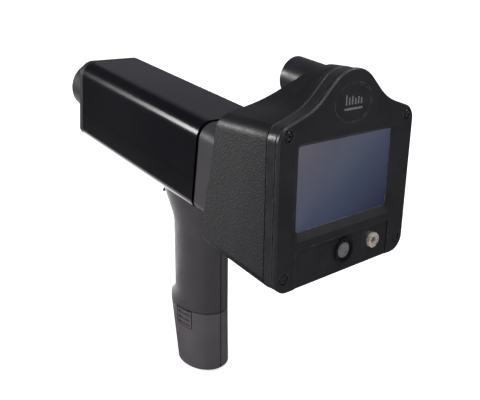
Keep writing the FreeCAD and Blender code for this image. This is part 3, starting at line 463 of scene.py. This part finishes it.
SLOT_OF = {row["node"]: row["material_slot"] for row in frame["record"]["subparts"]}


def dress_nodes():
    for name, node in NODES.items():
        node.data.materials.clear()
        node.data.materials.append(MATERIALS[SLOT_OF[name]])


# ---- edges of moulded and machined parts, softened by a modifier (widths in mm) ---------------
SOFT_EDGES = {
    "display_bezel": 0.35, "control_panel": 0.2, "middle_frame": 0.3, "barrel_cover": 0.3,
    "barrel_tray": 0.3, "front_end_plate": 0.4, "neck": 0.3, "knob_ring": 0.2,
    "grip_left": 0.3, "grip_right": 0.3, "battery_case_left": 0.25, "battery_case_right": 0.25,
    "latch_left": 0.12, "latch_right": 0.12, "trigger": 0.5, "module_shell": 0.3, "pointer_tube": 0.3,
}


def soften(name, width):
    node = NODES[name]
    bevel = node.modifiers.new("soft_edges", "BEVEL")
    bevel.width = width * MM
    bevel.segments = 2
    bevel.limit_method = "ANGLE"
    bevel.angle_limit = math.radians(35)
    bevel.harden_normals = False


# ---- housing of the display head, with its front edge rounded (mm and degrees) ----------------
CROWN_R = 20.0            # round top of the hump
FLANK_ANGLE = 43.0
FLANK_RUN = 8.7
HOLLOW_R = 32.0
SHOULDER_ANGLE = 17.5
SHOULDER_R = 8.0
FOOT_R = 8.5
FRONT_LEAN = 12.6
ROOF_LEAN = 47.0
KNEE_Y = 41.8
KNEE_Z = 36.0
KNEE_R = 12.0
TOE_R = 11.0
LOFT_END = 64.0           # where the loft ends, before the front cuts it off
FLOOR_RISE = 9.0
HOUSING_WALL = 2.4
EDGE_R = 3.4
ROW_MARGIN = 4.2          # first inner place of a row, clear of the rounded edge
HALF_W = FACE_HIGH.x / MM
TOP = (FACE_HIGH.z - DATUM.z) / MM
BOTTOM = (FACE_LOW.z - DATUM.z) / MM
REAR_Y = (HOUSE_LOW.y - DATUM.y) / MM


def arc_points(cx, cz, radius, start, end, steps):
    angles = [math.radians(start + (end - start) * step / steps) for step in range(steps + 1)]
    return [(cx + radius * math.cos(a), cz + radius * math.sin(a)) for a in angles]


def half_outline(rise):
    """Right half of the head's outline in mm about the datum, from the crown to the foot's end."""
    flank, shoulder = math.radians(FLANK_ANGLE), math.radians(SHOULDER_ANGLE)
    crown_z = TOP - CROWN_R
    flank_x = CROWN_R * math.sin(flank) + FLANK_RUN * math.cos(flank)
    flank_z = crown_z + CROWN_R * math.cos(flank) - FLANK_RUN * math.sin(flank)
    hollow_x = flank_x + HOLLOW_R * math.sin(flank)
    hollow_z = flank_z + HOLLOW_R * math.cos(flank)
    line_x = hollow_x - HOLLOW_R * math.sin(shoulder)
    line_z = hollow_z - HOLLOW_R * math.cos(shoulder)
    corner_x = HALF_W - SHOULDER_R
    corner_z = line_z - (SHOULDER_R + (corner_x - line_x) * math.sin(shoulder)) / math.cos(shoulder)
    foot_z = BOTTOM + rise + FOOT_R
    points = arc_points(0, crown_z, CROWN_R, 90, 90 - FLANK_ANGLE, 8)
    points += arc_points(hollow_x, hollow_z, HOLLOW_R, 270 - FLANK_ANGLE, 270 - SHOULDER_ANGLE, 6)
    points += arc_points(corner_x, corner_z, SHOULDER_R, 90 - SHOULDER_ANGLE, 0, 8)
    side_top = points[-1][1]
    points += [(HALF_W, side_top + (foot_z - side_top) * share / 8) for share in range(1, 8)]
    return points + arc_points(HALF_W - FOOT_R, foot_z, FOOT_R, 0, -90, 10)


def side_view():
    """Front boundary of the housing's side view, as a function from height to reach (mm)."""
    lean, roof = math.radians(90 + FRONT_LEAN), math.radians(90 + ROOF_LEAN)
    floor_slope = math.atan2(FLOOR_RISE, LOFT_END - REAR_Y)
    knee_turn = (roof - lean) / 2
    knee_run = KNEE_R * math.tan(knee_turn)
    knee_low = (KNEE_Y - knee_run * math.cos(lean), KNEE_Z - knee_run * math.sin(lean))
    knee_high = (KNEE_Y + knee_run * math.cos(roof), KNEE_Z + knee_run * math.sin(roof))
    knee_mid = (knee_low[0] - KNEE_R * math.sin(lean), knee_low[1] + KNEE_R * math.cos(lean))
    # the toe is where the floor line meets the leaning line
    gap = (KNEE_Y - REAR_Y, KNEE_Z - BOTTOM)
    det = math.cos(lean) * math.sin(floor_slope) - math.sin(lean) * math.cos(floor_slope)
    along = (gap[0] * math.sin(floor_slope) - gap[1] * math.cos(floor_slope)) / det
    toe = (KNEE_Y - along * math.cos(lean), KNEE_Z - along * math.sin(lean))
    toe_run = TOE_R * math.tan((lean - floor_slope) / 2)
    toe_high = (toe[0] + toe_run * math.cos(lean), toe[1] + toe_run * math.sin(lean))
    toe_mid = (toe_high[0] - TOE_R * math.sin(lean), toe_high[1] + TOE_R * math.cos(lean))

    def reach(z):
        if z > knee_high[1]:
            return knee_high[0] + (z - knee_high[1]) / math.tan(roof)
        if z > knee_low[1]:
            return knee_mid[0] + math.sqrt(KNEE_R ** 2 - (z - knee_mid[1]) ** 2)
        if z > toe_high[1]:
            return toe_high[0] + (z - toe_high[1]) / math.tan(lean)
        return toe_mid[0] + math.sqrt(max(TOE_R ** 2 - (z - toe_mid[1]) ** 2, 0.0))

    return reach


def front_crossing(reach, z_rear, z_front):
    """How far forward a line of the loft runs before it meets the front, and its height there."""
    low, high = REAR_Y, LOFT_END
    for _ in range(40):
        y = (low + high) / 2
        z = z_rear + (z_front - z_rear) * (y - REAR_Y) / (LOFT_END - REAR_Y)
        if y < reach(z):
            low = y
        else:
            high = y
    return low, z


def row_places(x):
    """Places across one row of the front: edge, margin, middle, margin, edge."""
    margin = x - min(ROW_MARGIN, 0.45 * x)
    return [x, margin, 0.0, -margin, -x]


def housing_mesh():
    reach = side_view()
    bm = bmesh.new()

    def vertex(x, y, z):
        return bm.verts.new(Vector((x, y, z)) * MM + DATUM)

    rows, tails = [], []
    for (x, z_rear), (_, z_front) in zip(half_outline(0.0), half_outline(FLOOR_RISE)):
        y, z = front_crossing(reach, z_rear, z_front)
        spots = row_places(x) if x > 1e-6 else [0.0]
        rows.append([vertex(spot, y, z) for spot in spots])
        half_way = (REAR_Y + y) / 2
        ends = [spots[0], spots[-1]] if len(spots) > 1 else spots
        half_z = (z + z_rear) / 2
        tails.append([[vertex(end, half_way, half_z), vertex(end, REAR_Y, z_rear)] for end in ends])
    for upper, lower in zip(rows, rows[1:]):
        if len(upper) == 1:
            for a, b in zip(lower, lower[1:]):
                bm.faces.new((upper[0], b, a))
        else:
            for i in range(4):
                bm.faces.new((upper[i], upper[i + 1], lower[i + 1], lower[i]))
    z_rear = half_outline(0.0)[-1][1]
    foot = rows[-1]
    foot_tails = [tails[-1][0]]
    for inner in foot[1:-1]:
        place = (inner.co - DATUM) / MM
        foot_tails.append([vertex(place.x, (place.y + REAR_Y) / 2, (place.z + z_rear) / 2),
                           vertex(place.x, REAR_Y, z_rear)])
    foot_tails.append(tails[-1][1])
    loop = [(rows[i][0], tails[i][0]) for i in range(len(rows))]
    loop += list(zip(foot[1:-1], foot_tails[1:-1]))
    loop += [(rows[i][-1], tails[i][-1]) for i in range(len(rows) - 1, 0, -1)]
    rim = []
    for (edge_a, tail_a), (edge_b, tail_b) in zip(loop, loop[1:] + loop[:1]):
        bm.faces.new((edge_a, edge_b, tail_b[0], tail_a[0]))
        bm.faces.new((tail_a[0], tail_b[0], tail_b[1], tail_a[1]))
        rim.append(bm.edges.get((edge_a, edge_b)))
    bmesh.ops.recalc_face_normals(bm, faces=bm.faces)
    bmesh.ops.bevel(bm, geom=rim, offset=EDGE_R * MM, offset_type="OFFSET", segments=4, profile=0.5,
                    affect="EDGES", clamp_overlap=True)
    bmesh.ops.recalc_face_normals(bm, faces=bm.faces)
    mesh = bpy.data.meshes.new("housing_shell")
    bm.to_mesh(mesh)
    bm.free()
    return mesh


def housing_shell():
    mesh = housing_mesh()
    mesh.shade_smooth()
    mesh.set_sharp_from_angle(angle=math.radians(40))
    shell = bpy.data.objects.new("housing_shell", mesh)
    bpy.context.scene.collection.objects.link(shell)
    wall = shell.modifiers.new("wall", "SOLIDIFY")
    wall.thickness = HOUSING_WALL * MM
    wall.offset = -1.0
    even = shell.modifiers.new("even_normals", "WEIGHTED_NORMAL")
    even.keep_sharp = True
    shell.data.materials.append(MATERIALS["textured_plastic"])
    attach(shell, "instrument")
    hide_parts("display_housing")


# ---- plain raised bars on the badge ----------------------------------------------------------
BAR_W = 0.9 * MM
BAR_PITCH = 2.1 * MM
BAR_HEIGHTS = (4.6, 3.4, 4.0, 2.8, 3.4, 2.8)   # mm, with no meaning
BAR_RISE = 0.12 * MM
BAR_ROOT = 0.1 * MM       # each bar is sunk this far in the field
FIELD_DEPTH = 0.20 * MM   # the badge's field, below its rim
BAR_DROP = 0.8 * MM       # foot of the bars, below the badge's centre
RAIL_DROP = 2.4 * MM      # foot of the long bar, below theirs


def add_box(bm, low, high):
    corners = [(x, y, z) for x in (low.x, high.x) for y in (low.y, high.y) for z in (low.z, high.z)]
    verts = [bm.verts.new(corner) for corner in corners]
    for face in ((0, 1, 3, 2), (4, 6, 7, 5), (0, 4, 5, 1), (2, 3, 7, 6), (0, 2, 6, 4), (1, 5, 7, 3)):
        bm.faces.new([verts[i] for i in face])


def badge_bars():
    """A row of upright bars over one long bar, standing on the badge's sunk field."""
    low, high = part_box("oval_badge")
    centre = (low + high) / 2
    front = low.y + FIELD_DEPTH - BAR_RISE
    back = low.y + FIELD_DEPTH + BAR_ROOT
    count = len(BAR_HEIGHTS)
    start = centre.x - BAR_PITCH * (count - 1) / 2
    foot = centre.z - BAR_DROP
    bm = bmesh.new()
    for step, height in enumerate(BAR_HEIGHTS):
        x = start + BAR_PITCH * step
        top = foot + height * MM
        add_box(bm, Vector((x - BAR_W / 2, front, foot)), Vector((x + BAR_W / 2, back, top)))
    half = BAR_PITCH * count / 2
    rail = foot - RAIL_DROP
    add_box(bm, Vector((centre.x - half, front, rail)), Vector((centre.x + half, back, rail + BAR_W)))
    mesh = bpy.data.meshes.new("badge_bars")
    bm.to_mesh(mesh)
    bm.free()
    bars = bpy.data.objects.new("badge_bars", mesh)
    bpy.context.scene.collection.objects.link(bars)
    bars.data.materials.append(satin_black("badge_bars", (0.11, 0.11, 0.115), 0.30, (0.30, 0.30, 0.30)))
    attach(bars, "instrument")


add_camera()
lamps()
background()
floor()
dress_nodes()
for node_name, edge_width in SOFT_EDGES.items():
    soften(node_name, edge_width)
housing_shell()
badge_bars()
